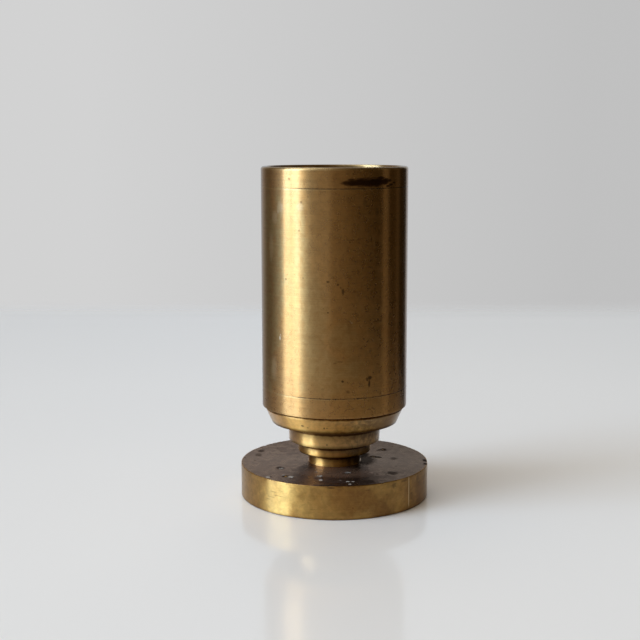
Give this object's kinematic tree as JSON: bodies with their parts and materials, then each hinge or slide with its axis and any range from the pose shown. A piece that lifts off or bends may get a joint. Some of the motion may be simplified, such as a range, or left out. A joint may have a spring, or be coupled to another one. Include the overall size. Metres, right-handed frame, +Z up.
{
  "type": "footed brass pencil cup",
  "caption": "Turned brass desk cup: a straight cylindrical cup with fine seam lines, held on a stepped pedestal and a heavy disc base.",
  "frame": {"origin": "on the turning axis, at the plane that the base stands on", "axes": "+Z up along the turning axis, from the base to the open mouth; X and Y are level and equal, because every piece is round"},
  "size_m": [0.0828, 0.0828, 0.1448],
  "materials": {
    "cup_brass": "satin turned brass with an uneven brown patina, fine round-and-round tool marks and small dark spots",
    "pedestal_brass": "satin turned brass, darker in the joints",
    "base_brass": "turned brass, bright on the side and dulled brown with pits on the top",
    "screw_steel": "dull turned steel"
  },
  "bodies": {
    "root": {"rim_ring": "cup_brass", "cup_tube": "cup_brass", "cup_cap": "cup_brass", "taper_collar": "pedestal_brass", "drum_collar": "pedestal_brass", "small_collar": "pedestal_brass", "neck_ring": "pedestal_brass", "base_disc": "base_brass", "clamp_screw": "screw_steel"}
  },
  "joints": []
}
